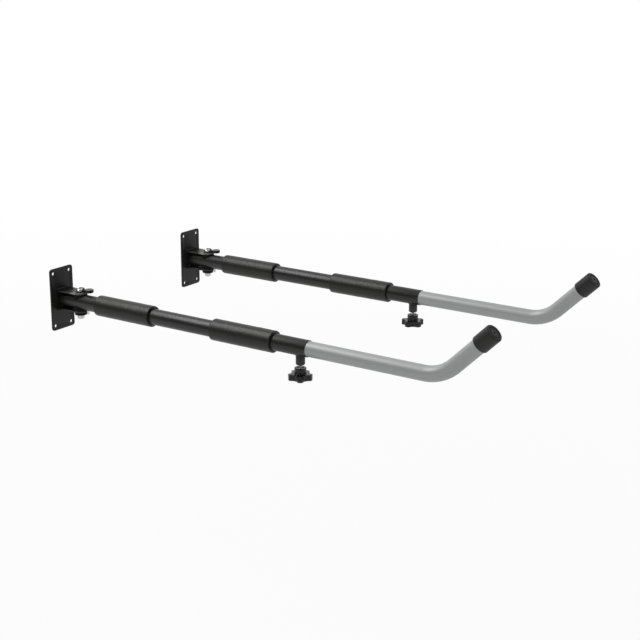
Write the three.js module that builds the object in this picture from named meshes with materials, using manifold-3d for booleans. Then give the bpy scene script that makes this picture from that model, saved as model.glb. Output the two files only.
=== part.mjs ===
// Surfboard wall rack: a pair of folding, telescoping arms, each on its own wall plate.
// Millimetres. +X runs along the wall to the right, each arm points out of the wall along -Y, +Z is up.
// The origin is the middle of the left plate's back face, the face that lies on the wall.
import * as THREE from "three";
import { mergeVertices } from "three/addons/utils/BufferGeometryUtils.js";
import Module from "manifold-3d";

const wasm = await Module();
wasm.setup();

// Clearances
const seatGap = 0.3; // between a piece and the neighbour that cuts or holds it
const runGap = 0.3; // between pieces that move on each other
const overrun = 2; // how far a cutting shape passes the face that it cuts

// The pair
const armSpacing = 421;

// Wall plate
const plateWidth = 64;
const plateHeight = 130;
const plateThickness = 3;
const plateCornerRadius = 6;
const screwHoleRadius = 3.5;
const screwInsetX = 9.25; // from the plate's edges to each hole's axis
const screwInsetZ = 9.75;

// Outer tube, straight, along the arm's axis
const outerRadius = 16;
const outerWall = 1.2;
const outerReach = 561; // from the hinge bolt to the open end
const outerTail = 44; // from the hinge bolt back towards the wall

// Hinge: two ears hold the tube between them on an upright bolt
const boltDistance = 53; // from the wall face to the bolt's axis
const boltRadius = 4;
const earThickness = 3.5;
const earTipRadius = 15.5;
const earRootHalfWidth = 19;
const saddleRadius = 15;
const saddleCrown = 0.8;
const headRadius = 7.75;
const headHeight = 4.6;
const headTopRadius = 5;
const headShoulder = 2.2;
const socketAcrossFlats = 5;
const socketDepth = 2.6;
const spacerRadius = 12.4;
const spacerHeight = 6.3;
const nutAcrossFlats = 13;
const nutHexHeight = 7.6;
const nutCollarHeight = 1;
const nutCollarRadius = 6.2;
const boltTipPastNut = 1;
const boltTipChamfer = 0.8;

// Clamp lever under the bolt's head
const leverAngle = THREE.MathUtils.degToRad(11); // from the arm's direction towards +X
const leverHubRadius = 9.6;
const leverHubHeight = 1.4;
const paddleDistance = 21.7;
const paddleRadius = 9.4;
const paddleHeight = 6.6;
const paddleEdge = 1.6;
const neckHalfWidth = 4.6;
const neckHeight = 4.2;
const cheekWall = 1.9;
const cheekHeight = 6.4;
const cheekStart = THREE.MathUtils.degToRad(-24); // counted from the paddle's direction
const cheekEnd = THREE.MathUtils.degToRad(132);

// Insert that keeps the clamped tube round, and the pin that holds it
const insertForward = 34;
const insertTailInset = 1;
const insertChamfer = 1;
const pinRadius = 2.5;
const pinDistance = 20; // from the bolt, out along the arm
const pinDrop = 8; // below the tube
const pinRise = 7.5; // above the tube's axis
const pinChamfer = 0.6;

// Foam sleeves
const foamRadius = 21.15;
const foamLength = 141;
const foamFirst = 53.5; // from the bolt to the first sleeve
const foamLastInset = 74.5; // from the second sleeve's far end to the open end
const foamEdge = 1.2;

// Star knob clamp at the open end of the outer tube
const clampInset = 17.8; // from the open end to the knob's axis
const studRadius = 3;
const bossRadius = 8.8;
const bossDrop = 17; // below the outer tube
const bossChamfer = 1.4;
const studShown = 5.9;
const knobHubRadius = 11.2;
const knobHubHeight = 11.3;
const knobHubEdge = 1;
const knobHubRecessRadius = 6.4;
const knobHubRecessDepth = 1.6;
const knobMeanRadius = 19.7;
const knobLobeRise = 3.1; // of each lobe's tip above the mean radius, and of each hollow below it
const knobLobes = 5;
const knobHeight = 11.5;
const knobEdge = 1.1;
const studDepthInKnob = 14;

// Inner tube, with its upturned end
const innerWall = 1.5;
const innerStraight = 420; // from its end inside the outer tube to the start of the bend
const bendRadius = 82; // of the tube's axis
const bendAngle = THREE.MathUtils.degToRad(45);
const tailLength = 94; // past the bend
const leftExtension = 239; // from the outer tube's open end to the start of the bend
const rightExtension = 245;

// Guide in the inner tube's hidden end
const guideFlange = 6;
const guideSpigot = 20;

// End cap
const capWall = 2.1;
const capLength = 36.3;
const capFloor = 6.2;
const capEdge = 2;
const capGrooveRadius = 10.4;
const capGrooveHalfWidth = 1.1;
const capGrooveDepth = 1;
const capDimpleRadius = 2.2;
const capDimpleDepth = 1.2;

// How finely round shapes are drawn: counts of flats
const tubeFlats = 40;
const foamFlats = 32;
const hardwareFlats = 28;
const pinFlats = 16;
const bendSteps = 8;
const edgeSteps = 2;
const knobOutlinePoints = 40;
const hexSides = 6;
const cornerFlats = 6;

// Sizes that follow from the ones above
const boreOuter = outerRadius - outerWall;
const innerRadius = boreOuter - runGap;
const innerBore = innerRadius - innerWall;
const boltHole = boltRadius + runGap;
const earInnerFace = outerRadius + seatGap + saddleCrown + runGap;
const earOuterFace = earInnerFace + earThickness;
const leverFloor = earOuterFace + runGap;
const headFloor = leverFloor + leverHubHeight;
const spacerFloor = -earOuterFace - spacerHeight;
const nutFloor = spacerFloor - nutHexHeight - nutCollarHeight;
const clampReach = outerReach - clampInset;
const bossFloor = -outerRadius - bossDrop;
const knobHubTop = bossFloor - studShown;
const knobBodyTop = knobHubTop - knobHubHeight;
const knobFloor = knobBodyTop - knobHeight;

// Finishes
const steel = () => new THREE.MeshStandardMaterial({ color: 0x232221, roughness: 0.42, metalness: 0.3 });
const zinc = () => new THREE.MeshStandardMaterial({ color: 0xc9c6c0, roughness: 0.3, metalness: 0.95 });
const silver = () => new THREE.MeshStandardMaterial({ color: 0xa3a8a6, roughness: 0.4, metalness: 0.85 });
const foam = () => new THREE.MeshStandardMaterial({ color: 0x2b2a29, roughness: 0.95, metalness: 0 });
const rubber = () => new THREE.MeshStandardMaterial({ color: 0x1f1f1f, roughness: 0.7, metalness: 0 });
const plastic = () => new THREE.MeshStandardMaterial({ color: 0x1c1b1b, roughness: 0.28, metalness: 0 });
const nylon = () => new THREE.MeshStandardMaterial({ color: 0x191919, roughness: 0.55, metalness: 0 });

// A body of revolution from [radius, height] pairs, its axis along +Y.
function spun(profile, flats) {
  return new THREE.LatheGeometry(profile.map(([r, h]) => new THREE.Vector2(r, h)), flats);
}

// The same body with its axis turned upright.
function upright(profile, flats) {
  return spun(profile, flats).rotateX(Math.PI / 2);
}

// The same body with its heights counted out along the arm.
function alongArm(profile, flats) {
  return spun(profile, flats).rotateX(Math.PI);
}

// Profiles of a plain rod and of a plain tube.
function rod(radius, low, high) {
  return [[0, low], [radius, low], [radius, high], [0, high]];
}

function pipe(bore, radius, low, high) {
  return [[bore, low], [radius, low], [radius, high], [bore, high], [bore, low]];
}

// A quarter round from one side of a corner to the other, for a profile.
function rounded(radius, height, edge, fromAngle) {
  return Array.from({ length: edgeSteps + 1 }, (_, i) => {
    const angle = fromAngle + (i / edgeSteps) * (Math.PI / 2);
    return [radius + edge * Math.cos(angle), height + edge * Math.sin(angle)];
  });
}

// A closed geometry as a solid, and a solid as a geometry.
function solid(geometry) {
  const bare = geometry.clone();
  bare.deleteAttribute("normal");
  bare.deleteAttribute("uv");
  const merged = mergeVertices(bare);
  return new wasm.Manifold(
    new wasm.Mesh({
      numProp: 3,
      vertProperties: new Float32Array(merged.attributes.position.array),
      triVerts: new Uint32Array(merged.index.array),
    }),
  );
}

function geometryOf(made) {
  const mesh = made.getMesh();
  const geometry = new THREE.BufferGeometry();
  geometry.setAttribute("position", new THREE.BufferAttribute(new Float32Array(mesh.vertProperties), 3));
  geometry.setIndex(new THREE.BufferAttribute(new Uint32Array(mesh.triVerts), 1));
  geometry.computeVertexNormals();
  return geometry;
}

// A geometry with others cut away from it.
function cut(geometry, ...tools) {
  return geometryOf(tools.reduce((made, tool) => made.subtract(solid(tool)), solid(geometry)));
}

// Geometries joined into one body.
function joined(first, ...others) {
  return geometryOf(others.reduce((made, other) => made.add(solid(other)), solid(first)));
}

// A flat outline raised from one height to another.
function raised(shape, low, high, curveSegments) {
  return new THREE.ExtrudeGeometry(shape, {
    depth: high - low,
    bevelEnabled: false,
    curveSegments,
  }).translate(0, 0, low);
}

function circle(radius, x, y) {
  return new THREE.Path().absarc(x, y, radius, 0, 2 * Math.PI);
}

// Wall plate: a flat steel plate with round corners and four screw holes, upright on the wall.
function wallPlate() {
  const x = plateWidth / 2 - plateCornerRadius;
  const z = plateHeight / 2 - plateCornerRadius;
  const outline = new THREE.Shape();
  outline.absarc(x, z, plateCornerRadius, 0, Math.PI / 2);
  outline.absarc(-x, z, plateCornerRadius, Math.PI / 2, Math.PI);
  outline.absarc(-x, -z, plateCornerRadius, Math.PI, 1.5 * Math.PI);
  outline.absarc(x, -z, plateCornerRadius, 1.5 * Math.PI, 2 * Math.PI);
  const holes = [];
  for (const sideX of [-1, 1])
    for (const sideZ of [-1, 1])
      holes.push(
        upright(rod(screwHoleRadius, -overrun, plateThickness + overrun), pinFlats)
          .translate(sideX * (plateWidth / 2 - screwInsetX), sideZ * (plateHeight / 2 - screwInsetZ), 0),
      );
  return cut(raised(outline, 0, plateThickness, cornerFlats / 2), ...holes).rotateX(Math.PI / 2);
}

// Ear: a tongue from the plate to a round end on the bolt. One plan is raised at two heights.
function ear(low) {
  const half = Math.asin((earRootHalfWidth - earTipRadius) / (boltDistance - plateThickness));
  const outline = new THREE.Shape();
  outline.moveTo(earRootHalfWidth, -plateThickness);
  outline.lineTo(-earRootHalfWidth, -plateThickness);
  outline.absarc(0, -boltDistance, earTipRadius, Math.PI - half, 2 * Math.PI + half);
  outline.closePath();
  outline.holes.push(circle(boltHole, 0, -boltDistance));
  return raised(outline, low, low + earThickness, hardwareFlats / 2);
}

// Spacer and lock nut under the lower ear.
function spacer() {
  return upright(pipe(boltHole, spacerRadius, spacerFloor, -earOuterFace), hardwareFlats);
}

function lockNut() {
  const hexRadius = nutAcrossFlats / 2 / Math.cos(Math.PI / hexSides);
  const hexTop = spacerFloor;
  const hexFloor = hexTop - nutHexHeight;
  const hex = new THREE.CylinderGeometry(hexRadius, hexRadius, nutHexHeight, hexSides)
    .rotateX(Math.PI / 2)
    .translate(0, 0, (hexTop + hexFloor) / 2);
  const collar = upright(rod(nutCollarRadius, nutFloor, hexFloor + nutCollarHeight), hardwareFlats);
  const bore = upright(rod(boltHole, nutFloor - overrun, hexTop + overrun), pinFlats);
  return cut(joined(hex, collar), bore);
}

// Hinge bolt: a round head with a hexagon socket, above a plain shank.
function hingeBolt() {
  const top = headFloor + headHeight;
  const tip = nutFloor - boltTipPastNut;
  const body = upright(
    [
      [0, tip],
      [boltRadius - boltTipChamfer, tip],
      [boltRadius, tip + boltTipChamfer],
      [boltRadius, headFloor],
      [headRadius, headFloor],
      [headRadius, headFloor + headShoulder],
      [(headRadius + headTopRadius) / 2, top - (headHeight - headShoulder) / 3],
      [headTopRadius, top],
      [0, top],
    ],
    hardwareFlats,
  );
  const socketRadius = socketAcrossFlats / 2 / Math.cos(Math.PI / hexSides);
  const socket = new THREE.CylinderGeometry(socketRadius, socketRadius, socketDepth + overrun, hexSides)
    .rotateX(Math.PI / 2)
    .translate(0, 0, top + (overrun - socketDepth) / 2);
  return cut(body, socket);
}

// Clamp lever: a thin hub under the bolt's head, a cheek round the head's flank, a neck and a round paddle.
function clampLever() {
  const hub = upright(rod(leverHubRadius, leverFloor, headFloor), hardwareFlats);
  const paddleTop = leverFloor + paddleHeight;
  const paddle = upright(
    [
      [0, leverFloor],
      ...rounded(paddleRadius - paddleEdge, leverFloor + paddleEdge, paddleEdge, -Math.PI / 2),
      ...rounded(paddleRadius - paddleEdge, paddleTop - paddleEdge, paddleEdge, 0),
      [0, paddleTop],
    ],
    hardwareFlats,
  ).translate(paddleDistance, 0, 0);
  const cheekBore = headRadius + seatGap;
  const cheekPlan = new THREE.Shape();
  cheekPlan.absarc(0, 0, cheekBore + cheekWall, cheekStart, cheekEnd, false);
  cheekPlan.absarc(0, 0, cheekBore, cheekEnd, cheekStart, true);
  cheekPlan.closePath();
  const cheek = raised(cheekPlan, leverFloor, leverFloor + cheekHeight, hardwareFlats / 2);
  const neckPlan = new THREE.Shape();
  neckPlan.moveTo(0, -neckHalfWidth);
  neckPlan.lineTo(paddleDistance, -neckHalfWidth);
  neckPlan.lineTo(paddleDistance, neckHalfWidth);
  neckPlan.lineTo(0, neckHalfWidth);
  neckPlan.closePath();
  const neck = cut(
    raised(neckPlan, leverFloor, leverFloor + neckHeight),
    upright(rod(cheekBore, headFloor, leverFloor + neckHeight + overrun), hardwareFlats),
  );
  const bore = upright(rod(boltHole, leverFloor - overrun, headFloor + overrun), pinFlats);
  return cut(joined(hub, cheek, neck, paddle), bore).rotateZ(leverAngle - Math.PI / 2);
}

// Saddle: a round washer whose inner face follows the tube, so that its sides hug the tube's sides.
function saddle(side) {
  const high = earInnerFace - runGap;
  const reach = saddleRadius + overrun;
  const disc = upright(pipe(boltHole, saddleRadius, 0, high), hardwareFlats);
  const made = cut(disc, alongArm(rod(outerRadius + seatGap, -reach, reach), tubeFlats));
  return side > 0 ? made : made.rotateX(Math.PI);
}

// Outer tube, with holes for the bolt, the insert's pin and the clamp's stud.
function outerTube() {
  const tube = alongArm(pipe(boreOuter, outerRadius, -outerTail, outerReach), tubeFlats);
  const bolt = upright(rod(boltHole, -outerRadius - overrun, outerRadius + overrun), pinFlats);
  const pin = upright(rod(pinRadius + seatGap, -outerRadius - overrun, 0), pinFlats);
  const stud = upright(rod(studRadius + runGap, -outerRadius - overrun, 0), pinFlats);
  return cut(tube, bolt, pin.translate(0, -pinDistance, 0), stud.translate(0, -clampReach, 0));
}

// Hinge insert: a solid plug in the tube's wall end, bored for the bolt and the pin.
function hingeInsert() {
  const radius = boreOuter - seatGap;
  const low = insertTailInset - outerTail;
  const plug = alongArm(
    [
      [0, low],
      [radius - insertChamfer, low],
      [radius, low + insertChamfer],
      [radius, insertForward - insertChamfer],
      [radius - insertChamfer, insertForward],
      [0, insertForward],
    ],
    tubeFlats,
  );
  const bolt = upright(rod(boltHole, -outerRadius, outerRadius), pinFlats);
  const pin = upright(rod(pinRadius + seatGap, -outerRadius, pinRise + seatGap), pinFlats);
  return cut(plug, bolt, pin.translate(0, -pinDistance, 0));
}

function insertPin() {
  const low = -outerRadius - pinDrop;
  return upright(
    [
      [0, low],
      [pinRadius - pinChamfer, low],
      [pinRadius, low + pinChamfer],
      [pinRadius, pinRise],
      [0, pinRise],
    ],
    pinFlats,
  ).translate(0, -pinDistance, 0);
}

// Foam sleeve, its edges slightly rounded.
function foamSleeve(start) {
  const bore = outerRadius + seatGap;
  const end = start + foamLength;
  return alongArm(
    [
      [bore, start],
      ...rounded(foamRadius - foamEdge, start + foamEdge, foamEdge, -Math.PI / 2),
      ...rounded(foamRadius - foamEdge, end - foamEdge, foamEdge, 0),
      [bore, end],
      [bore, start],
    ],
    foamFlats,
  );
}

// Clamp boss: a threaded collar under the outer tube, its top following the tube.
function clampBoss() {
  const top = -outerRadius + bossRadius;
  const collar = upright(
    [
      [0, bossFloor],
      [bossRadius - bossChamfer, bossFloor],
      [bossRadius, bossFloor + bossChamfer],
      [bossRadius, top],
      [0, top],
    ],
    hardwareFlats,
  );
  const tube = alongArm(rod(outerRadius + seatGap, -bossRadius - overrun, bossRadius + overrun), tubeFlats);
  const bore = upright(rod(studRadius + runGap, bossFloor - overrun, 0), pinFlats);
  return cut(collar, tube, bore);
}

// Star knob: a lobed body below a round hub, with the stud moulded in.
function starKnob() {
  const outline = new THREE.Shape(
    Array.from({ length: knobOutlinePoints }, (_, i) => {
      const angle = (i / knobOutlinePoints) * 2 * Math.PI;
      const radius = knobMeanRadius - knobEdge + knobLobeRise * Math.cos(knobLobes * angle);
      return new THREE.Vector2(radius * Math.cos(angle), radius * Math.sin(angle));
    }),
  );
  const body = new THREE.ExtrudeGeometry(outline, {
    depth: knobHeight - 2 * knobEdge,
    bevelEnabled: true,
    bevelThickness: knobEdge,
    bevelSize: knobEdge,
    bevelSegments: edgeSteps,
  }).translate(0, 0, knobFloor + knobEdge);
  const hub = upright(
    [
      [0, knobFloor + knobHeight / 2],
      [knobHubRadius, knobFloor + knobHeight / 2],
      ...rounded(knobHubRadius - knobHubEdge, knobHubTop - knobHubEdge, knobHubEdge, 0),
      [knobHubRecessRadius, knobHubTop],
      [knobHubRecessRadius, knobHubTop - knobHubRecessDepth],
      [0, knobHubTop - knobHubRecessDepth],
    ],
    hardwareFlats,
  );
  const bore = upright(
    rod(studRadius + seatGap, knobHubTop - studDepthInKnob - seatGap, knobHubTop + overrun),
    pinFlats,
  );
  return cut(joined(body, hub), bore);
}

function knobStud() {
  return upright(rod(studRadius, knobHubTop - studDepthInKnob, -innerRadius - runGap), pinFlats);
}

// The inner tube's axis: a straight run, an arc upwards and a straight tail. Two steps lie outside the arc.
class BentAxis extends THREE.Curve {
  constructor(start) {
    super();
    this.start = start;
  }

  turned(step) {
    return bendAngle * Math.min(Math.max((step - 1) / bendSteps, 0), 1);
  }

  getPointAt(share) {
    const step = share * (bendSteps + 2);
    const angle = this.turned(step);
    const run = innerStraight * Math.min(step, 1) + bendRadius * Math.sin(angle);
    const tail = tailLength * Math.max(step - bendSteps - 1, 0);
    return new THREE.Vector3(
      0,
      -this.start - run - tail * Math.cos(angle),
      bendRadius * (1 - Math.cos(angle)) + tail * Math.sin(angle),
    );
  }

  getTangentAt(share) {
    const angle = this.turned(share * (bendSteps + 2));
    return new THREE.Vector3(0, -Math.cos(angle), Math.sin(angle));
  }
}

function innerTube(start) {
  const section = new THREE.Shape();
  section.absarc(0, 0, innerRadius, 0, 2 * Math.PI);
  section.holes.push(circle(innerBore, 0, 0));
  return new THREE.ExtrudeGeometry(section, {
    steps: bendSteps + 2,
    extrudePath: new BentAxis(start),
    curveSegments: foamFlats / 2,
  });
}

// Guide: a flange that runs in the outer tube, with a spigot on which the inner tube turns.
function tubeGuide(start) {
  const spigot = innerBore - runGap;
  const flangeTop = start - runGap;
  return alongArm(
    [
      [0, flangeTop - guideFlange],
      [innerRadius, flangeTop - guideFlange],
      [innerRadius, flangeTop],
      [spigot, flangeTop],
      [spigot, flangeTop + guideSpigot],
      [0, flangeTop + guideSpigot],
    ],
    tubeFlats,
  );
}

// End cap: a rubber cup over the upturned end, with a ring groove and a dimple in its end face.
function endCap() {
  const radius = innerRadius + seatGap + capWall;
  const bore = innerRadius + seatGap;
  const floor = capLength - capFloor;
  return alongArm(
    [
      [0, floor],
      [bore, floor],
      [bore, 0],
      [radius, 0],
      ...rounded(radius - capEdge, capLength - capEdge, capEdge, 0),
      [capGrooveRadius + capGrooveHalfWidth, capLength],
      [capGrooveRadius, capLength - capGrooveDepth],
      [capGrooveRadius - capGrooveHalfWidth, capLength],
      [capDimpleRadius, capLength],
      [0, capLength - capDimpleDepth],
    ],
    foamFlats,
  );
}

// One named piece, added to the group that carries it.
function piece(group, name, side, geometry, material) {
  const mesh = new THREE.Mesh(geometry, material);
  mesh.name = `${name}_${side}`;
  group.add(mesh);
  return mesh;
}

// One whole arm on its plate.
function rack(side, x, extension, knobTurn) {
  const wall = new THREE.Group();
  wall.position.x = x;
  piece(wall, "wall_plate", side, wallPlate(), steel());
  piece(wall, "upper_ear", side, ear(earInnerFace), steel());
  piece(wall, "lower_ear", side, ear(-earOuterFace), steel());

  const arm = new THREE.Group();
  arm.position.y = -boltDistance;
  wall.add(arm);
  piece(arm, "hinge_spacer", side, spacer(), nylon());
  piece(arm, "lock_nut", side, lockNut(), zinc());
  piece(arm, "hinge_bolt", side, hingeBolt(), zinc());
  piece(arm, "clamp_lever", side, clampLever(), plastic());
  piece(arm, "upper_saddle", side, saddle(1), nylon());
  piece(arm, "lower_saddle", side, saddle(-1), nylon());
  piece(arm, "outer_tube", side, outerTube(), steel());
  piece(arm, "hinge_insert", side, hingeInsert(), nylon());
  piece(arm, "insert_pin", side, insertPin(), zinc());
  piece(arm, "inner_foam_sleeve", side, foamSleeve(foamFirst), foam());
  piece(arm, "outer_foam_sleeve", side, foamSleeve(outerReach - foamLastInset - foamLength), foam());

  const clamp = new THREE.Group();
  clamp.position.y = -clampReach;
  arm.add(clamp);
  piece(clamp, "clamp_boss", side, clampBoss(), steel());
  piece(clamp, "star_knob", side, starKnob(), plastic()).rotation.z = knobTurn;
  piece(clamp, "knob_stud", side, knobStud(), zinc());

  const bendStart = outerReach + extension;
  const innerStart = bendStart - innerStraight;
  piece(arm, "inner_tube", side, innerTube(innerStart), silver());
  piece(arm, "tube_guide", side, tubeGuide(innerStart), nylon());

  const tip = new THREE.Group();
  const capStart = tailLength + seatGap - (capLength - capFloor);
  tip.position.set(
    0,
    -bendStart - bendRadius * Math.sin(bendAngle) - capStart * Math.cos(bendAngle),
    bendRadius * (1 - Math.cos(bendAngle)) + capStart * Math.sin(bendAngle),
  );
  tip.rotation.x = -bendAngle;
  arm.add(tip);
  piece(tip, "end_cap", side, endCap(), rubber());
  return wall;
}

// The two knobs stand half a lobe apart, as they were last tightened.
const leftKnobTurn = THREE.MathUtils.degToRad(69);
const rightKnobTurn = leftKnobTurn + Math.PI / knobLobes;

const pair = new THREE.Group();
pair.add(rack("left", 0, leftExtension, leftKnobTurn));
pair.add(rack("right", armSpacing, rightExtension, rightKnobTurn));

export default pair;
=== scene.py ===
from math import cos, pi, radians, sin, sqrt

import bmesh
import bpy
from mathutils import Matrix, Vector


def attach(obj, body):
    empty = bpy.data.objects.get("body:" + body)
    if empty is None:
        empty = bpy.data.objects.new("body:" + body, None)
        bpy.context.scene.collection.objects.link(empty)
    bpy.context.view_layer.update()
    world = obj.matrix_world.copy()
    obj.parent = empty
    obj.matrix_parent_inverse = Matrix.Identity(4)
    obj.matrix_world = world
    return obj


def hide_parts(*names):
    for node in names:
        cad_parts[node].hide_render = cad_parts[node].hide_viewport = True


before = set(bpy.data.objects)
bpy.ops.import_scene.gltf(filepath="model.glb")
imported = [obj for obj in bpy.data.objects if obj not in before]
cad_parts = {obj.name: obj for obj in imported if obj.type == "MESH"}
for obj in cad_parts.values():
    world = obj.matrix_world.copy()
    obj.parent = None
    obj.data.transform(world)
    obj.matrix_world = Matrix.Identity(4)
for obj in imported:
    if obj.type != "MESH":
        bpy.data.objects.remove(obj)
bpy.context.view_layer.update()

# Wall plates: 3 mm steel, 64 x 130 mm, with round corners and four screw holes each. Punched, with the
# edges a little broken, then powder coated matt black. Both racks are the same, so a piece is made for
# the left arm, and its twin for the right arm is a copy 421 mm along the wall.
mm = 0.001
arm_spacing = 421 * mm
plate_width, plate_thickness, plate_height = 64 * mm, 3 * mm, 130 * mm
plate_corner = 6 * mm
screw_hole_radius = 3.5 * mm
screw_x, screw_z = 22.75 * mm, 55.25 * mm
plate_edge = 0.45 * mm
drill_flats = 48
fine_flats = 96
sharp = radians(28)


class Wire:
    """What comes out of a node. A sum with it adds a Math node."""

    def __init__(self, nodes, socket):
        self.nodes, self.socket = nodes, socket

    def sum(self, operation, first, second):
        return self.nodes.node("ShaderNodeMath", {"operation": operation}, {0: first, 1: second})

    def __add__(self, other):
        return self.sum("ADD", self, other)

    def __radd__(self, other):
        return self.sum("ADD", other, self)

    def __rsub__(self, other):
        return self.sum("SUBTRACT", other, self)

    def __mul__(self, other):
        return self.sum("MULTIPLY", self, other)


class Nodes:
    """The node tree of a material or of the surround."""

    def __init__(self, owner):
        owner.use_nodes = True
        self.tree = owner.node_tree

    def node(self, kind, settings, inputs, output=0):
        made = self.tree.nodes.new(kind)
        for key, value in settings.items():
            setattr(made, key, value)
        self.join(made, inputs)
        return Wire(self, made.outputs[output])

    def join(self, made, inputs):
        for key, value in inputs.items():
            if isinstance(value, Wire):
                self.tree.links.new(value.socket, made.inputs[key])
            else:
                made.inputs[key].default_value = value

    def between(self, share, low, high):
        """Low where the share is 0 and high where it is 1."""
        return low + share * (high - low)


class Finish(Nodes):
    """A material built round its Principled shader."""

    def __init__(self, name, **sockets):
        self.material = bpy.data.materials.new(name)
        super().__init__(self.material)
        self.shader = self.tree.nodes["Principled BSDF"]
        self.place = self.node("ShaderNodeTexCoord", {}, {}, "Object")
        self.put({key.replace("_", " "): value for key, value in sockets.items()})

    def put(self, inputs):
        self.join(self.shader, inputs)

    def speckle(self, scale, detail=2.0, roughness=0.5, place=None):
        return self.node(
            "ShaderNodeTexNoise",
            {},
            {"Vector": place or self.place, "Scale": scale, "Detail": detail, "Roughness": roughness},
        )

    def blend(self, share, first, second):
        """One colour where the share is 0 and the other where it is 1."""
        return self.node(
            "ShaderNodeMix", {"data_type": "RGBA"}, {0: share, 6: (*first, 1), 7: (*second, 1)}, 2
        )

    def bump(self, height, distance, strength):
        return self.node(
            "ShaderNodeBump", {}, {"Height": height, "Distance": distance, "Strength": strength}
        )


def alone(piece):
    """Nothing else is selected, and the piece is what the next operator acts on."""
    bpy.ops.object.select_all(action="DESELECT")
    piece.select_set(True)
    bpy.context.view_layer.objects.active = piece
    return piece


def fresh(name):
    """The primitive that was just added, under its name, with its place in its mesh."""
    piece = bpy.context.active_object
    piece.name = piece.data.name = name
    alone(piece)
    bpy.ops.object.transform_apply(location=True, rotation=True, scale=True)
    return piece


def block(name, centre, size):
    bpy.ops.object.select_all(action="DESELECT")
    bpy.ops.mesh.primitive_cube_add(size=1, location=centre, scale=size)
    return fresh(name)


def rod(name, radius, low, high, axis="Z", flats=fine_flats):
    """A cylinder between two points that lie along one axis."""
    turns = {"X": (0, pi / 2, 0), "Y": (pi / 2, 0, 0), "Z": (0, 0, 0)}
    low, high = Vector(low), Vector(high)
    bpy.ops.object.select_all(action="DESELECT")
    bpy.ops.mesh.primitive_cylinder_add(
        vertices=flats,
        radius=radius,
        depth=(high - low).length,
        location=(low + high) / 2,
        rotation=turns[axis],
    )
    return fresh(name)


def modified(piece, kind, **settings):
    """A modifier, set and applied."""
    alone(piece)
    modifier = piece.modifiers.new(kind.lower(), kind)
    for key, value in settings.items():
        setattr(modifier, key, value)
    bpy.ops.object.modifier_apply(modifier=modifier.name)
    return piece


def cut(piece, *tools):
    """The piece with each tool's shape cut away."""
    for tool in tools:
        modified(piece, "BOOLEAN", operation="DIFFERENCE", solver="EXACT", object=tool)
        bpy.data.objects.remove(tool)
    return piece


def broken(piece, width, segments=3):
    """Its sharp edges rounded over."""
    return modified(
        piece, "BEVEL", width=width, segments=segments, limit_method="ANGLE", angle_limit=sharp
    )


def picked(piece, kind, test):
    """In edit mode, with only the vertices or edges or faces that pass the test selected."""
    alone(piece)
    bpy.ops.object.mode_set(mode="EDIT")
    bpy.ops.mesh.select_mode(type={"verts": "VERT", "edges": "EDGE", "faces": "FACE"}[kind])
    bpy.ops.mesh.select_all(action="DESELECT")
    drawn = bmesh.from_edit_mesh(piece.data)
    for part in getattr(drawn, kind):
        part.select_set(bool(test(part)))
    drawn.select_flush_mode()
    bmesh.update_edit_mesh(piece.data)


def done():
    bpy.ops.object.mode_set(mode="OBJECT")


def fitted(piece, body, slot, finish, *nodes):
    """The finished piece with its material, on its body, in place of its nodes."""
    alone(piece)
    piece.data.materials.clear()
    piece.data.materials.append(finish.material)
    bpy.ops.object.shade_smooth_by_angle(angle=sharp)
    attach(piece, body)
    if nodes:
        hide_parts(*nodes)


def to_the_right(words):
    return words.replace("left", "right")


def on_both_arms(piece, body, slot, finish, *nodes, shift=(0, 0, 0), turn=0.0, about=(0, 0, 0)):
    """The left arm's piece, and its twin on the right arm, turned about an upright axis if asked."""
    twin = piece.copy()
    twin.data = piece.data.copy()
    twin.name = twin.data.name = to_the_right(piece.name)
    bpy.context.scene.collection.objects.link(twin)
    centre = Matrix.Translation(Vector(about))
    twin.data.transform(centre @ Matrix.Rotation(turn, 4, "Z") @ centre.inverted())
    twin.data.transform(Matrix.Translation(Vector(shift) + Vector((arm_spacing, 0, 0))))
    fitted(piece, body, slot, finish, *nodes)
    fitted(twin, to_the_right(body), slot, finish, *[to_the_right(node) for node in nodes])
    return piece, twin


# Powder coat on the plates: matt, with a fine orange peel, and cloudy where hands have rubbed it.
matt_coat = Finish("matt_powder_coat", Roughness=0.5, Specular_IOR_Level=0.27)
peel = matt_coat.speckle(620, 3)
rubbed = matt_coat.speckle(34, 4, 0.6)
matt_coat.put(
    {
        "Base Color": matt_coat.blend(rubbed, (0.007, 0.007, 0.007), (0.028, 0.027, 0.026)),
        "Roughness": matt_coat.between(rubbed * 0.6 + peel * 0.4, 0.36, 0.6),
        "Normal": matt_coat.bump(peel, 0.08 * mm, 0.6),
    }
)

plate = block("plate_left", (0, -plate_thickness / 2, 0), (plate_width, plate_thickness, plate_height))
picked(
    plate,
    "edges",
    lambda edge: abs(edge.verts[0].co.y - edge.verts[1].co.y) > plate_thickness / 2,
)
bpy.ops.mesh.bevel(offset=plate_corner, segments=10, affect="EDGES")
done()
for side_x in (-1, 1):
    for side_z in (-1, 1):
        cut(
            plate,
            rod(
                "drill",
                screw_hole_radius,
                (side_x * screw_x, -2 * plate_thickness, side_z * screw_z),
                (side_x * screw_x, plate_thickness, side_z * screw_z),
                "Y",
                drill_flats,
            ),
        )
broken(plate, plate_edge)
on_both_arms(plate, "wall_side", "black_steel", matt_coat, "wall_plate_left")

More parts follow.
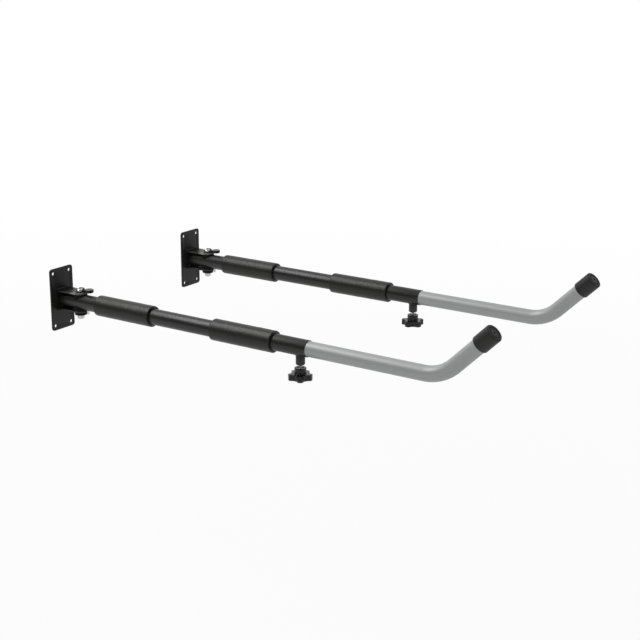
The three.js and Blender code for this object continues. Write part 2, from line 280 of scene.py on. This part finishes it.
# Hinge ears: two 3.5 mm steel tongues, one above the tube and one below, each welded to the plate along
# its root and tapered a little to a round end on the bolt, and coated in satin black.
bolt_y = -53 * mm
ear_thickness = 3.5 * mm
ear_inner = 17.4 * mm
ear_outer = ear_inner + ear_thickness
ear_tip_radius = 15.5 * mm
ear_edge = 1.1 * mm
ear_root_half_width = 19 * mm
bolt_hole_radius = 4.3 * mm
ear_root_sink = 0.2 * mm
taper_from = bolt_y + 1.5 * mm
# Where along the upper ears the painted edge highlight runs, from its faint end to its full end near the
# tip.
highlight_from, highlight_to = bolt_y + 16 * mm, bolt_y + 6 * mm
bead_radius = 1.5 * mm
bead_pitch = 1.5 * mm
bead_voxel = 0.3 * mm

coat = Finish("satin_powder_coat", Roughness=0.36, Specular_IOR_Level=0.43)
skin = coat.speckle(620, 3)
patches = coat.speckle(24, 3)
coat.put(
    {
        "Base Color": coat.blend(patches, (0.009, 0.0087, 0.0083), (0.015, 0.0145, 0.0138)),
        "Roughness": coat.between(patches * 0.6 + skin * 0.4, 0.3, 0.46),
        "Normal": coat.bump(skin, 0.06 * mm, 0.22),
    }
)

# The same coat on the upper ears, with a painted highlight round the tips: light grey on the convex edges,
# standing in for the light that the rounded edges catch.
edge_highlight_coat = Finish("rubbed_powder_coat", Roughness=0.36, Specular_IOR_Level=0.43)
pointed = edge_highlight_coat.node("ShaderNodeNewGeometry", {}, {}, "Pointiness")
edges = edge_highlight_coat.node("ShaderNodeMapRange", {}, {"Value": pointed, "From Min": 0.505, "From Max": 0.55})
along_ear = edge_highlight_coat.node("ShaderNodeSeparateXYZ", {}, {"Vector": edge_highlight_coat.place}, "Y")
tip = edge_highlight_coat.node(
    "ShaderNodeMapRange", {}, {"Value": along_ear, "From Min": highlight_from, "From Max": highlight_to}
)
# Painted highlight: light grey laid on the sharp edges near the ear's tip, patchy along them.
painted_edge_highlight = edges * tip * edge_highlight_coat.between(edge_highlight_coat.speckle(260, 3), 0.5, 1.2)
highlight_coat_peel = edge_highlight_coat.speckle(620, 3)
edge_highlight_coat.put(
    {
        "Base Color": edge_highlight_coat.blend(painted_edge_highlight, (0.012, 0.0117, 0.011), (0.38, 0.375, 0.36)),
        "Roughness": edge_highlight_coat.between(highlight_coat_peel, 0.32, 0.46),
        "Normal": edge_highlight_coat.bump(highlight_coat_peel, 0.06 * mm, 0.22),
    }
)
ear_finish = {"upper": edge_highlight_coat, "lower": coat}

for level, low in (("upper", ear_inner), ("lower", -ear_outer)):
    ear = rod(f"{level}_ear_plate_left", ear_tip_radius, (0, bolt_y, low), (0, bolt_y, low + ear_thickness))
    picked(ear, "verts", lambda vert: vert.co.y > taper_from)
    widest = max(vert.co.x for vert in bmesh.from_edit_mesh(ear.data).verts if vert.select)
    bpy.ops.transform.resize(
        value=(ear_root_half_width / widest, 0, 1),
        center_override=(0, -plate_thickness + ear_root_sink, low + ear_thickness / 2),
    )
    done()
    above_ear = (0, bolt_y, low + 2 * ear_thickness)
    cut(ear, rod("drill", bolt_hole_radius, (0, bolt_y, low - mm), above_ear, flats=drill_flats))
    broken(ear, ear_edge, 4)
    on_both_arms(ear, "wall_side", "black_steel", ear_finish[level], f"{level}_ear_left")

    for face in (low, low + ear_thickness):
        bpy.ops.object.select_all(action="DESELECT")
        bpy.ops.mesh.primitive_uv_sphere_add(
            segments=20,
            ring_count=12,
            radius=bead_radius,
            location=(bead_radius - ear_root_half_width, -plate_thickness, face),
        )
        bead = fresh(f"{level}_ear_weld_left")
        modified(
            bead,
            "ARRAY",
            count=round(2 * (ear_root_half_width - bead_radius) / bead_pitch) + 1,
            use_relative_offset=False,
            use_constant_offset=True,
            constant_offset_displace=(bead_pitch, 0, 0),
        )
        modified(bead, "REMESH", mode="VOXEL", voxel_size=bead_voxel)
        modified(bead, "SMOOTH", factor=0.5, iterations=3)
        on_both_arms(bead, "wall_side", "black_steel", coat)

# Spacers: a black nylon disc between each lower ear and its lock nut, turned from bar. The bolt passes
# through it, and its edges are rounded.
spacer_radius = 12.4 * mm
spacer_height = 6.3 * mm
spacer_low = -ear_outer - spacer_height
spacer_edge = 0.7 * mm
same_point = 0.002 * mm


def turned(name, outline, foot, axis=(0, 0, 1), flats=fine_flats):
    """An outline of (radius, height) points drawn beside its axis and spun round it."""
    foot, axis = Vector(foot), Vector(axis).normalized()
    side = Vector((1, 0, 0))
    points = [foot + side * radius + axis * height for radius, height in outline]
    bpy.ops.object.select_all(action="DESELECT")
    bpy.ops.mesh.primitive_plane_add(size=mm)
    piece = fresh(name)
    bpy.ops.object.mode_set(mode="EDIT")
    bpy.ops.mesh.merge(type="CENTER")
    bpy.ops.transform.translate(value=points[0])
    for here, there in zip(points, points[1:]):
        bpy.ops.mesh.extrude_vertices_move(TRANSFORM_OT_translate={"value": there - here})
    bpy.ops.mesh.select_all(action="SELECT")
    bpy.ops.mesh.spin(steps=flats, angle=2 * pi, center=foot, axis=axis)
    bpy.ops.mesh.select_all(action="SELECT")
    bpy.ops.mesh.remove_doubles(threshold=same_point)
    bpy.ops.mesh.normals_make_consistent(inside=False)
    done()
    return piece


def ring(bore, radius, low, high):
    """The outline of a plain tube."""
    return [(bore, low), (radius, low), (radius, high), (bore, high), (bore, low)]


nylon = Finish("black_nylon", Roughness=0.55, Specular_IOR_Level=0.1)
grain = nylon.speckle(900, 2)
nylon.put(
    {
        "Base Color": nylon.blend(nylon.speckle(40), (0.004, 0.004, 0.004), (0.008, 0.008, 0.008)),
        "Roughness": nylon.between(grain, 0.5, 0.64),
        "Normal": nylon.bump(grain, 0.03 * mm, 0.4),
    }
)
spacer = turned(
    "nylon_spacer_left", ring(bolt_hole_radius, spacer_radius, spacer_low, -ear_outer), (0, bolt_y, 0)
)
broken(spacer, spacer_edge, 4)
on_both_arms(spacer, "wall_side", "nylon", nylon, "hinge_spacer_left")

# Lock nuts: M8, 13 mm across flats, zinc plated, with a crimped collar that holds the locking ring. The
# crimped edge is given by how far it lies inside the collar's side, and how high, in millimetres.
nut_flats = 13 * mm
nut_radius = nut_flats / 2 / cos(pi / 6)
nut_low = spacer_low - 7.6 * mm
nut_chamfer = 0.8 * mm
nut_edge = 0.12 * mm
barrel_end = nut_flats / 2 - 0.8 * mm
barrel_radius = nut_radius + 0.6 * mm
collar_low = nut_low - 1.0 * mm
collar_radius = 6.2 * mm
collar_top = nut_low + mm
collar_crimp = ((1.1, 0), (0.4, 0.25), (0, 0.9))

zinc = Finish("bright_zinc", Metallic=1.0, Roughness=0.3)
haze = zinc.speckle(120, 4, 0.6)
scratches = zinc.speckle(1500, 2)
zinc.put(
    {
        "Base Color": zinc.blend(haze, (0.52, 0.515, 0.5), (0.66, 0.65, 0.63)),
        "Roughness": zinc.between(haze * 0.5 + scratches * 0.5, 0.28, 0.46),
        "Normal": zinc.bump(scratches, 0.02 * mm, 0.35),
    }
)
nut = rod("hex_nut_left", nut_radius, (0, bolt_y, nut_low), (0, bolt_y, spacer_low), flats=6)
barrel = turned(
    "barrel",
    [
        (0, nut_low - nut_chamfer / 2),
        (barrel_end, nut_low - nut_chamfer / 2),
        (barrel_radius, nut_low + 1.5 * nut_chamfer),
        (barrel_radius, spacer_low - 1.5 * nut_chamfer),
        (barrel_end, spacer_low + nut_chamfer / 2),
        (0, spacer_low + nut_chamfer / 2),
    ],
    (0, bolt_y, 0),
    flats=60,
)
modified(nut, "BOOLEAN", operation="INTERSECT", solver="EXACT", object=barrel)
bpy.data.objects.remove(barrel)
collar = turned(
    "collar",
    [
        (0, collar_low),
        *[(collar_radius - inset * mm, collar_low + height * mm) for inset, height in collar_crimp],
        (collar_radius, collar_top),
        (0, collar_top),
    ],
    (0, bolt_y, 0),
)
modified(nut, "BOOLEAN", operation="UNION", solver="EXACT", object=collar)
bpy.data.objects.remove(collar)
cut(
    nut,
    rod(
        "drill",
        bolt_hole_radius,
        (0, bolt_y, collar_low - mm),
        (0, bolt_y, spacer_low + mm),
        flats=drill_flats,
    ),
)
modified(nut, "WELD", merge_threshold=nut_edge / 4)
broken(nut, nut_edge, 2)
on_both_arms(nut, "wall_side", "zinc_hardware", zinc, "lock_nut_left")

# Saddles: black nylon washers above and below the tube, hollowed so that their sides hug the tube's. Their
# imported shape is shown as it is, in nylon.
sides = ("left", "right")


def dressed(name, finish):
    """A node's own shape in a finish."""
    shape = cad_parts[name]
    shape.data.materials.clear()
    shape.data.materials.append(finish.material)


for side in sides:
    for level in ("upper", "lower"):
        dressed(f"{level}_saddle_{side}", nylon)

# Outer tubes: 32 mm steel tube with a 1.2 mm wall, cut square and deburred, powder coated in satin black.
# Each is drilled through for the bolt, and from below for the plug's pin and the knob's stud.
outer_radius = 16 * mm
outer_bore = 14.8 * mm
tube_wall_end = 44 * mm
tube_reach = 561 * mm
pin_y = bolt_y - 20 * mm
clamp_y = bolt_y - tube_reach + 17.8 * mm
tube_flats = 128
tube_edge = 0.35 * mm
pin_hole_radius = 2.6 * mm
stud_hole_radius = 3.3 * mm
past_tube = 20 * mm
arm = (0, -1, 0)

tube = turned(
    "black_tube_left",
    ring(outer_bore, outer_radius, -tube_wall_end, tube_reach),
    (0, bolt_y, 0),
    arm,
    tube_flats,
)
broken(tube, tube_edge)
cut(
    tube,
    rod("drill", bolt_hole_radius, (0, bolt_y, -past_tube), (0, bolt_y, past_tube), flats=drill_flats),
    rod("drill", pin_hole_radius, (0, pin_y, -past_tube), (0, pin_y, 0), flats=32),
    rod("drill", stud_hole_radius, (0, clamp_y, -past_tube), (0, clamp_y, 0), flats=32),
)
on_both_arms(tube, "arm_left", "black_steel", coat, "outer_tube_left")

# Plug and pin: a nylon plug keeps the clamped end of the tube round, and a zinc pin through the tube's
# underside holds the plug. The pin's tip stands 8 mm below the tube.
pin_radius = 2.5 * mm
pin_low, pin_top = -24 * mm, 7.5 * mm
pin_edge = 0.6 * mm

for side in sides:
    dressed(f"hinge_insert_{side}", nylon)
pin = turned(
    "plug_pin_left",
    [(0, pin_low), (pin_radius, pin_low), (pin_radius, pin_top), (0, pin_top)],
    (0, pin_y, 0),
    flats=48,
)
broken(pin, pin_edge, 4)
on_both_arms(pin, "arm_left", "zinc_hardware", zinc, "insert_pin_left")

# Hinge bolts: M8, zinc plated, a domed round head with a 5 mm hexagon socket. The thread shows below the
# nut. The head's side is given by how far it lies inside the radius, and how high, in millimetres.
head_radius = 7.75 * mm
head_low = 22.6 * mm
head_top = 27.2 * mm
head_side = ((0.3, 0), (0, 0.3), (0, 1.3), (0.5, 2.5), (1.5, 3.6))
crown_rim, crown_flat = 2.9 * mm, 3.9 * mm
crown_drop = 0.2 * mm
socket_flats = 5 * mm
socket_depth = 2.6 * mm
shank_radius = 4 * mm
bolt_tip = -36.8 * mm
thread_pitch = 1.25 * mm
thread_depth = 0.65 * mm
thread_length = 10 * mm
thread_run_out = 0.3 * mm
bolt_edge = 0.15 * mm


def threaded(radius, depth, pitch, low, high):
    """The outline of a thread's ridges, with flat crests, from one height to another."""
    crest_from, crest_to = 0.4 * pitch, 0.6 * pitch
    turns = round((high - low) / pitch)
    ridges = []
    for turn in range(turns):
        foot = low + turn * pitch
        ridges += [(radius - depth, foot), (radius, foot + crest_from), (radius, foot + crest_to)]
    return ridges + [(radius - depth, low + turns * pitch)]


bolt = turned(
    "m8_bolt_left",
    [
        (0, bolt_tip),
        *threaded(shank_radius, thread_depth, thread_pitch, bolt_tip, bolt_tip + thread_length),
        (shank_radius, bolt_tip + thread_length + thread_run_out),
        (shank_radius, head_low),
        *[(head_radius - inset * mm, head_low + height * mm) for inset, height in head_side],
        (head_radius - crown_rim, head_top - crown_drop),
        (head_radius - crown_flat, head_top),
        (0, head_top),
    ],
    (0, bolt_y, 0),
)
cut(
    bolt,
    rod(
        "socket",
        socket_flats / 2 / cos(pi / 6),
        (0, bolt_y, head_top - socket_depth),
        (0, bolt_y, head_top + mm),
        flats=6,
    ),
)
broken(bolt, bolt_edge, 2)
on_both_arms(bolt, "lever_left", "zinc_hardware", zinc, "hinge_bolt_left")

# Clamp levers: glossy black moulded levers under the bolt heads. Each has a hub, a cheek that wraps the
# far side of the head, a neck and a round thumb paddle, all blended by the mould.
lever_low = 21.2 * mm
lever_angle = radians(11 - 90)
hub_radius = 9.6 * mm
paddle_distance = 21.7 * mm
paddle_radius = 9.4 * mm
paddle_top = 27.8 * mm
paddle_edge = 1.3 * mm
paddle_rim, paddle_slope = 1.6 * mm, 2.6 * mm
dish_edge, dish_depth = 0.35 * mm, 0.7 * mm
neck_half_width = 4.6 * mm
neck_top = 25.4 * mm
cheek_bore, cheek_radius, cheek_top = 8.05 * mm, 9.95 * mm, 27.6 * mm
cheek_from, cheek_to = radians(-24), radians(132)
lever_voxel = 0.35 * mm
along = Vector((cos(lever_angle), sin(lever_angle), 0))
hinge_centre = Vector((0, bolt_y, 0))


def merged(piece, *others):
    """Pieces joined into one object."""
    alone(piece)
    for other in others:
        other.select_set(True)
    bpy.ops.object.join()
    return piece


def moulded(piece, voxel, rounds):
    """Overlapping bodies run into one skin with soft edges."""
    modified(piece, "REMESH", mode="VOXEL", voxel_size=voxel)
    return modified(piece, "SMOOTH", factor=0.5, iterations=rounds)


hub = turned(
    "clamp_lever_body_left", ring(bolt_hole_radius, hub_radius, lever_low, head_low), (0, bolt_y, 0)
)
paddle_at = hinge_centre + along * paddle_distance
paddle = turned(
    "paddle",
    [
        (0, lever_low),
        (paddle_radius, lever_low),
        (paddle_radius, paddle_top),
        (paddle_radius - paddle_rim, paddle_top),
        (paddle_radius - paddle_slope, paddle_top - dish_edge),
        (0, paddle_top - dish_depth),
    ],
    (paddle_at.x, paddle_at.y, 0),
)
broken(paddle, paddle_edge, 4)
neck = block(
    "neck",
    ((cheek_bore + paddle_distance) / 2, 0, (lever_low + neck_top) / 2),
    (paddle_distance - cheek_bore, 2 * neck_half_width, neck_top - lever_low),
)
neck.data.transform(Matrix.Translation(hinge_centre) @ Matrix.Rotation(lever_angle, 4, "Z"))
cheek_start = Matrix.Rotation(lever_angle + cheek_from, 4, "Z")
bpy.ops.object.select_all(action="DESELECT")
bpy.ops.mesh.primitive_plane_add(
    size=1,
    location=((cheek_bore + cheek_radius) / 2, 0, (lever_low + cheek_top) / 2),
    rotation=(pi / 2, 0, 0),
)
bpy.context.active_object.scale = (cheek_radius - cheek_bore, cheek_top - lever_low, 1)
cheek = fresh("cheek")
cheek.data.transform(Matrix.Translation(hinge_centre) @ cheek_start)
bpy.ops.object.mode_set(mode="EDIT")
bpy.ops.mesh.select_all(action="SELECT")
bpy.ops.mesh.spin(steps=40, angle=cheek_from - cheek_to, center=hinge_centre, axis=(0, 0, 1))
bpy.ops.mesh.select_all(action="SELECT")
bpy.ops.mesh.normals_make_consistent(inside=False)
done()

gloss = Finish("gloss_black_moulding", Roughness=0.22, Specular_IOR_Level=0.3)
flow = gloss.speckle(90, 3)
pores = gloss.speckle(1300, 2)
gloss.put(
    {
        "Base Color": gloss.blend(flow, (0.004, 0.004, 0.004), (0.008, 0.008, 0.008)),
        "Roughness": gloss.between(flow * 0.6 + pores * 0.4, 0.13, 0.29),
        "Normal": gloss.bump(pores, 0.02 * mm, 0.35),
    }
)
lever = moulded(merged(hub, paddle, neck, cheek), lever_voxel, 5)
on_both_arms(lever, "lever_left", "gloss_black", gloss, "clamp_lever_left")

# Foam sleeves: closed-cell foam tube slid on to the black tube, 141 mm long, two on each arm. The skin is
# slightly uneven, and fine cells show all over it.
foam_radius = 21.15 * mm
foam_bore = 16.1 * mm
foam_length = 141 * mm
foam_edge = 1.6 * mm
foam_rings = 70
foam_starts = (("inner", 53.5 * mm), ("outer", 345.5 * mm))
foam_waviness = 0.5 * mm

cells = Finish("charcoal_foam", Roughness=0.41, Specular_IOR_Level=0.34)
cell_walls = cells.node(
    "ShaderNodeTexVoronoi",
    {"feature": "SMOOTH_F1"},
    {"Vector": cells.place, "Scale": 900, "Smoothness": 0.6},
)
mottle = cells.speckle(160, 4, 0.65)
clouds = cells.speckle(22, 2)
cells.put(
    {
        "Base Color": cells.blend(
            mottle * 0.6 + clouds * 0.4, (0.009, 0.0087, 0.0083), (0.021, 0.020, 0.0188)
        ),
        "Roughness": cells.between(mottle, 0.38, 0.44),
        "Normal": cells.bump(cell_walls * 0.7 + mottle * 0.3, 0.08 * mm, 0.16),
    }
)
skin_waves = bpy.data.textures.new("foam_skin", "CLOUDS")
skin_waves.noise_scale = 14 * mm

for name, start in foam_starts:
    end = start + foam_length
    corner = [
        (foam_radius - foam_edge * (1 - sin(angle)), foam_edge * (1 - cos(angle)))
        for angle in (0, pi / 6, pi / 3, pi / 2)
    ]
    outline = (
        [(foam_bore, start), (foam_radius - 2 * foam_edge, start)]
        + [(radius, start + height) for radius, height in corner]
        + [
            (foam_radius, start + foam_edge + (foam_length - 2 * foam_edge) * step / foam_rings)
            for step in range(1, foam_rings)
        ]
        + [(radius, end - height) for radius, height in reversed(corner)]
        + [(foam_radius - 2 * foam_edge, end), (foam_bore, end), (foam_bore, start)]
    )
    sleeve = turned(f"{name}_foam_left", outline, (0, bolt_y, 0), arm)
    modified(
        sleeve,
        "DISPLACE",
        texture=skin_waves,
        texture_coords="LOCAL",
        strength=foam_waviness,
        mid_level=0.75,
    )
    for made in on_both_arms(sleeve, "arm_left", "foam", cells, f"{name}_foam_sleeve_left"):
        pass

# Clamp bosses: steel collars welded under the open end of each tube, bored for the star knob's stud. The
# weld is a bead that follows the tube's curve. The thread inside can't be seen and is left out.
boss_radius = 8.8 * mm
boss_low = -33 * mm
boss_top = -9 * mm
boss_chamfer = 1.4 * mm
boss_edge = 0.3 * mm
boss_sink = 0.2 * mm
boss_weld_radius = 1.3 * mm
past_boss = 15 * mm

boss = turned(
    "clamp_collar_left",
    [
        (stud_hole_radius, boss_low),
        (boss_radius - boss_chamfer, boss_low),
        (boss_radius, boss_low + boss_chamfer),
        (boss_radius, boss_top),
        (stud_hole_radius, boss_top),
        (stud_hole_radius, boss_low),
    ],
    (0, clamp_y, 0),
)
cut(
    boss,
    rod(
        "tube",
        outer_radius - boss_sink,
        (0, clamp_y + past_boss, 0),
        (0, clamp_y - past_boss, 0),
        "Y",
        tube_flats,
    ),
)
broken(boss, boss_edge, 2)
bpy.ops.object.select_all(action="DESELECT")
bpy.ops.mesh.primitive_torus_add(
    major_segments=72,
    minor_segments=12,
    major_radius=boss_radius + boss_sink,
    minor_radius=boss_weld_radius,
    location=(0, clamp_y, -outer_radius),
)
fillet = fresh("clamp_collar_weld_left")
for vert in fillet.data.vertices:
    vert.co.z += outer_radius - sqrt(outer_radius**2 - vert.co.x**2)
on_both_arms(boss, "arm_left", "black_steel", coat, "clamp_boss_left")
on_both_arms(fillet, "arm_left", "black_steel", coat)

# Star knobs: glossy black mouldings with five lobes under a round hub, and an M6 stud moulded in. The two
# knobs stand half a lobe apart, as they were last tightened. The hollow of the underside is given by its
# radius and height in millimetres.
knob_hub_radius = 11.2 * mm
knob_hub_top = -38.9 * mm
knob_body_top = -50.2 * mm
knob_low = -61.7 * mm
lobe_reach = 22.8 * mm
hollow_radius = 12.3 * mm
hollow_distance = 28.9 * mm
lobes = 5
knob_turn = radians(69)
knob_dish = ((0, 1.2), (12, 0.7), (15, 0))
knob_voxel = 0.4 * mm
hub_root = knob_body_top - 4 * mm
hub_flare, flare_height = 0.6 * mm, 0.9 * mm
hub_seat_radius, hub_seat_depth = 6.4 * mm, 1.6 * mm
stud_radius = 3 * mm
stud_low, stud_thread_top, stud_top = -52.9 * mm, -14.9 * mm, -14.6 * mm
stud_pitch, stud_thread_depth, stud_chamfer = 1.0 * mm, 0.5 * mm, 0.8 * mm

knob = turned(
    "star_grip_left",
    [
        *[(radius * mm, knob_low + height * mm) for radius, height in knob_dish],
        (lobe_reach, knob_low),
        (lobe_reach, knob_body_top),
        (0, knob_body_top),
    ],
    (0, clamp_y, 0),
    flats=160,
)
for lobe in range(lobes):
    angle = knob_turn + (lobe + 0.5) * 2 * pi / lobes
    centre = Vector((hollow_distance * cos(angle), clamp_y + hollow_distance * sin(angle), 0))
    cut(
        knob,
        rod(
            "hollow",
            hollow_radius,
            centre + Vector((0, 0, knob_low - mm)),
            centre + Vector((0, 0, knob_body_top + mm)),
        ),
    )
grip_hub = turned(
    "grip_hub",
    [
        (0, hub_root),
        (knob_hub_radius + hub_flare, hub_root),
        (knob_hub_radius + hub_flare, knob_body_top),
        (knob_hub_radius, knob_body_top + flare_height),
        (knob_hub_radius, knob_hub_top),
        (hub_seat_radius, knob_hub_top),
        (hub_seat_radius, knob_hub_top - hub_seat_depth),
        (0, knob_hub_top - hub_seat_depth),
    ],
    (0, clamp_y, 0),
)
moulded(merged(knob, grip_hub), knob_voxel, 9)
on_both_arms(
    knob, "knob_left", "gloss_black", gloss, "star_knob_left", turn=pi / lobes, about=(0, clamp_y, 0)
)
stud = turned(
    "m6_stud_left",
    [
        (0, stud_low),
        *threaded(stud_radius, stud_thread_depth, stud_pitch, stud_low, stud_thread_top),
        (stud_radius - stud_chamfer, stud_top),
        (0, stud_top),
    ],
    (0, clamp_y, 0),
    flats=48,
)
on_both_arms(stud, "knob_left", "zinc_hardware", zinc, "knob_stud_left")

# Inner tubes: 29 mm tube with a 1.5 mm wall in satin silver, bent up 45 degrees to an 82 mm radius near
# the tip. About 180 mm run inside the black tube. The right one is drawn out 6 mm further.
inner_radius = 14.5 * mm
inner_wall = 1.5 * mm
bend_radius = 82 * mm
bend = pi / 4
bend_y = bolt_y - 800 * mm
inner_y = bend_y + 420 * mm
tail = 94 * mm
straight_rings = 6
bend_rings = 36
right_further = (0, -6 * mm, 0)

satin = Finish("satin_silver", Metallic=0.22, Roughness=0.47)
streaks = satin.node("ShaderNodeMapping", {}, {"Vector": satin.place, "Scale": (1, 0.1, 1)})
drawn_marks = satin.speckle(1800, 1, place=streaks)
tone = satin.speckle(14, 2)
satin.put(
    {
        "Base Color": satin.blend(tone, (0.39, 0.41, 0.40), (0.42, 0.44, 0.43)),
        "Roughness": satin.between(drawn_marks * 0.4 + tone * 0.6, 0.44, 0.49),
        "Normal": satin.bump(drawn_marks, 0.003 * mm, 0.15),
    }
)
bpy.ops.object.select_all(action="DESELECT")
bpy.ops.mesh.primitive_circle_add(
    vertices=fine_flats, radius=inner_radius, location=(0, inner_y, 0), rotation=(pi / 2, 0, 0)
)
inner = fresh("silver_tube_left")
bpy.ops.object.mode_set(mode="EDIT")
bpy.ops.mesh.select_all(action="SELECT")
for _ in range(straight_rings):
    bpy.ops.mesh.extrude_region_move(
        TRANSFORM_OT_translate={"value": (0, (bend_y - inner_y) / straight_rings, 0)}
    )
bpy.ops.mesh.spin(steps=bend_rings, angle=bend, center=(0, bend_y, bend_radius), axis=(1, 0, 0))
bpy.ops.mesh.extrude_region_move(
    TRANSFORM_OT_translate={"value": (0, -tail * cos(bend), tail * sin(bend))}
)
bpy.ops.mesh.select_all(action="SELECT")
bpy.ops.mesh.remove_doubles(threshold=same_point)
bpy.ops.mesh.normals_make_consistent(inside=False)
done()
modified(inner, "SOLIDIFY", thickness=inner_wall, offset=-1, use_rim=True, use_even_offset=True)
on_both_arms(inner, "end_left", "silver_tube", satin, "inner_tube_left", shift=right_further)
for side in sides:
    dressed(f"tube_guide_{side}", nylon)

# End caps: moulded rubber cups pushed over the upturned ends, with a rounded rim, a ring groove and a
# dimple in the end face. The dimple is given by its radius and depth in millimetres.
cap_radius = 16.9 * mm
cap_bore = 14.6 * mm
cap_length = 36.3 * mm
cap_floor = 30.1 * mm
cap_edge = 2.6 * mm
groove_radius = 10.4 * mm
groove_depth = 1.6 * mm
dimple = ((2.4, 0), (1.9, 0.9), (0, 1.2))
mouth_low, mouth_wide, mouth_edge = 0.3 * mm, 0.4 * mm, 0.6 * mm
cap_from_bend = 64.2 * mm
bend_end = Vector((0, bend_y - bend_radius * sin(bend), bend_radius * (1 - cos(bend))))
tail_axis = Vector((0, -cos(bend), sin(bend)))
cap_foot = bend_end + tail_axis * cap_from_bend

rubber = Finish("black_rubber", Roughness=0.5, Specular_IOR_Level=0.42)
bloom = rubber.speckle(60, 3)
texture = rubber.speckle(1100, 3)
rubber.put(
    {
        "Base Color": rubber.blend(bloom, (0.008, 0.008, 0.008), (0.015, 0.015, 0.014)),
        "Roughness": rubber.between(bloom * 0.5 + texture * 0.5, 0.42, 0.62),
        "Normal": rubber.bump(texture, 0.04 * mm, 0.45),
    }
)
rim = [
    (cap_radius - cap_edge * (1 - cos(angle)), cap_length - cap_edge * (1 - sin(angle)))
    for angle in [pi / 2 * step / 6 for step in range(7)]
]
groove = [
    (groove_radius + groove_depth * cos(angle), cap_length - groove_depth * sin(angle))
    for angle in [pi * step / 6 for step in range(7)]
]
cap = turned(
    "rubber_cap_left",
    [
        (0, cap_floor),
        (cap_bore, cap_floor),
        (cap_bore, mouth_low),
        (cap_bore + mouth_wide, 0),
        (cap_radius - mouth_edge, 0),
        (cap_radius, mouth_edge),
        *rim,
        *groove,
        *[(radius * mm, cap_length - depth * mm) for radius, depth in dimple],
    ],
    cap_foot,
    tail_axis,
)
on_both_arms(cap, "end_left", "black_rubber", rubber, "end_cap_left", shift=right_further)

# Floor and surround: white studio paper well below the arms, a white wall behind them and a dim room
# behind the camera. All of it is white where it is looked at straight on or through glass, and a gloss
# finds the paper and the wall white too.
azimuth, elevation, roll = radians(-56.899), radians(16.5437), radians(0.4047)
back = Vector((sin(azimuth) * cos(elevation), -cos(azimuth) * cos(elevation), sin(elevation)))
floor_z = -1.3
white_near, white_far = 0.92, 1.0
room_level = 0.17
wall_lift = 0.35


def rays(nodes, *kinds):
    """1 on a ray of one of these kinds."""
    found = [nodes.node("ShaderNodeLightPath", {}, {}, f"Is {kind} Ray") for kind in kinds]
    return sum(found[1:], found[0])


bpy.ops.object.select_all(action="DESELECT")
bpy.ops.mesh.primitive_plane_add(size=60, location=(0, 0, floor_z))
floor = fresh("studio_floor")
paper = Finish("white_paper", Roughness=0.9)
paper.put({"Base Color": (0.8, 0.8, 0.8, 1)})
away = paper.node("ShaderNodeVectorMath", {"operation": "LENGTH"}, {0: paper.place}, "Value")
far = paper.node("ShaderNodeMapRange", {}, {"Value": away, "From Min": 2, "From Max": 7})
glow = paper.node("ShaderNodeEmission", {}, {}, "Emission")
shown = paper.node(
    "ShaderNodeMixShader",
    {},
    {
        0: rays(paper, "Camera", "Glossy", "Transmission") * paper.between(far, white_near, white_far),
        1: Wire(paper, paper.shader.outputs[0]),
        2: glow,
    },
)
paper.tree.links.new(shown.socket, paper.tree.nodes["Material Output"].inputs["Surface"])
floor.data.materials.append(paper.material)

surround = bpy.data.worlds.new("surround")
bpy.context.scene.world = surround
room = Nodes(surround)
way = room.node("ShaderNodeTexCoord", {}, {}, "Generated")
behind = room.node(
    "ShaderNodeVectorMath",
    {"operation": "DOT_PRODUCT"},
    {0: way, 1: (-back.x, -back.y, wall_lift)},
    "Value",
)
wall = room.node(
    "ShaderNodeMapRange",
    {"interpolation_type": "SMOOTHSTEP"},
    {"Value": behind, "From Min": 0.2, "From Max": 0.95},
)
white = rays(room, "Camera", "Transmission") + rays(room, "Glossy") * wall
room.join(
    room.tree.nodes["Background"],
    {"Color": (1, 1, 1, 1), "Strength": room.between(white, room.between(wall, room_level, 1.0), 1.0)},
)

# Lamps: a long soft light above, to the left and behind the line of the wall, and a weak one from the
# camera's side.
for name, place, aim, size, power in (
    ("strip", (-0.84, 1.6, 2.81), (0.21, 1.6, 0), (0.62, 2.5), 86),
    ("front", (-2.6, -1.9, 1.6), (0.2, -0.45, 0), (1.2, 1.2), 14),
):
    lamp = bpy.data.objects.new(name, bpy.data.lights.new(name, "AREA"))
    lamp.data.shape = "RECTANGLE"
    lamp.data.size, lamp.data.size_y = size
    lamp.data.energy = power
    lamp.location = place
    lamp.rotation_euler = (Vector(aim) - Vector(place)).to_track_quat("-Z", "Y").to_euler()
    bpy.context.scene.collection.objects.link(lamp)

# Camera: the photograph's view, from the front left and a little above. Target, distance, turns and lens
# were fitted to the edges of both arms.
target = Vector((288.954, -450, -43.536)) * mm
distance = 2662.24 * mm
across = Vector((cos(azimuth), sin(azimuth), 0))
up = back.cross(across)
right = across * cos(roll) + up * sin(roll)
up = up * cos(roll) - across * sin(roll)
camera = bpy.data.objects.new("camera", bpy.data.cameras.new("camera"))
camera.data.lens = 72.17
camera.data.clip_end = 100
facing = Matrix((right, up, back)).transposed().to_4x4()
camera.matrix_world = Matrix.Translation(target + back * distance) @ facing
bpy.context.scene.collection.objects.link(camera)
bpy.context.scene.camera = camera
bpy.context.scene.view_settings.view_transform = "Standard"
